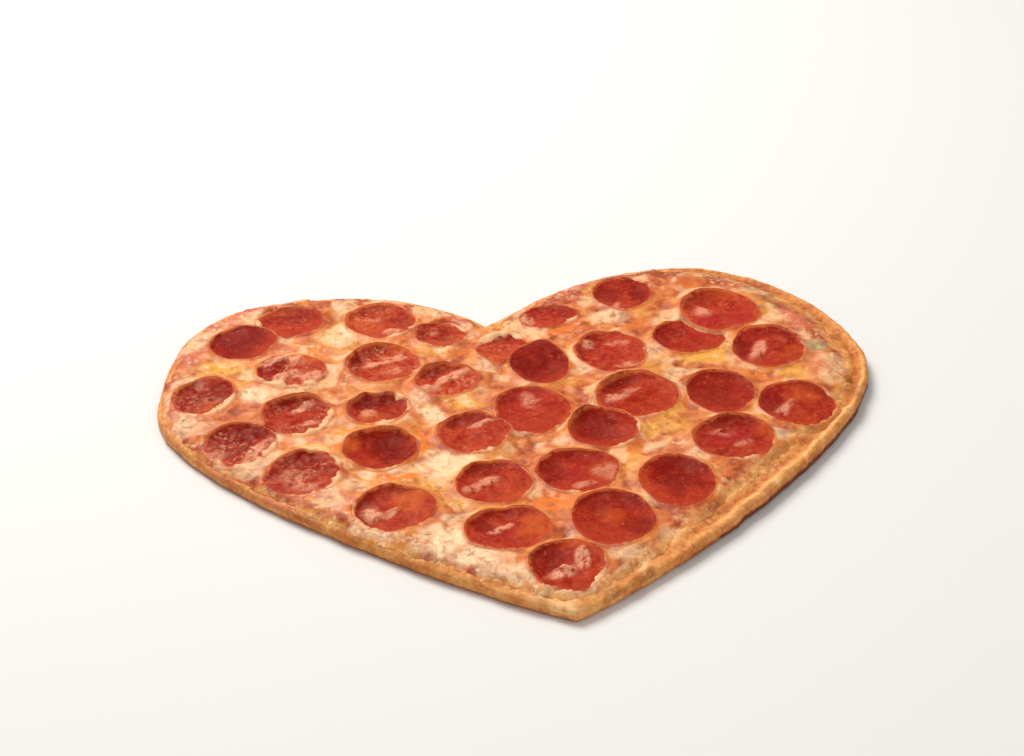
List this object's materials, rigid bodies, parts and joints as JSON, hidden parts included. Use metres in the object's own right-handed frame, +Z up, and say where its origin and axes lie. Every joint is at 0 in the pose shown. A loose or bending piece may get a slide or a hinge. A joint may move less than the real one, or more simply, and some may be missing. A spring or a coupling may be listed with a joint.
{
  "type": "heart-shaped pepperoni pizza",
  "caption": "Baked heart-shaped thin-crust pizza with melted cheese and cupped pepperoni slices, a whole uncut pie to serve on a board or plate.",
  "frame": {"origin": "on the table plane, under the centre of the box round the crust", "axes": "+Z up, through the thin way of the pizza; +X across the two lobes, the widest way; -Y towards the tip of the heart and +Y towards the notch"},
  "size_m": [0.3028, 0.247, 0.0139],
  "materials": {
    "crust": "baked golden dough, dry, with browned spots",
    "cheese": "melted cheese, cream to orange with grease",
    "pepperoni": "baked cured sausage, dark red with pale fat, greasy"
  },
  "bodies": {
    "root": {"crust": "crust", "cheese": "cheese", "pepperoni_01": "pepperoni", "pepperoni_02": "pepperoni", "pepperoni_03": "pepperoni", "pepperoni_04": "pepperoni", "pepperoni_05": "pepperoni", "pepperoni_06": "pepperoni", "pepperoni_07": "pepperoni", "pepperoni_08": "pepperoni", "pepperoni_09": "pepperoni", "pepperoni_10": "pepperoni", "pepperoni_11": "pepperoni", "pepperoni_12": "pepperoni", "pepperoni_13": "pepperoni", "pepperoni_14": "pepperoni", "pepperoni_15": "pepperoni", "pepperoni_16": "pepperoni", "pepperoni_17": "pepperoni", "pepperoni_18": "pepperoni", "pepperoni_19": "pepperoni", "pepperoni_20": "pepperoni", "pepperoni_21": "pepperoni", "pepperoni_22": "pepperoni", "pepperoni_23": "pepperoni", "pepperoni_24": "pepperoni", "pepperoni_25": "pepperoni", "pepperoni_26": "pepperoni", "pepperoni_27": "pepperoni", "pepperoni_28": "pepperoni", "pepperoni_29": "pepperoni", "pepperoni_30": "pepperoni", "pepperoni_31": "pepperoni", "pepperoni_32": "pepperoni", "pepperoni_33": "pepperoni", "pepperoni_34": "pepperoni", "pepperoni_35": "pepperoni"}
  },
  "joints": []
}
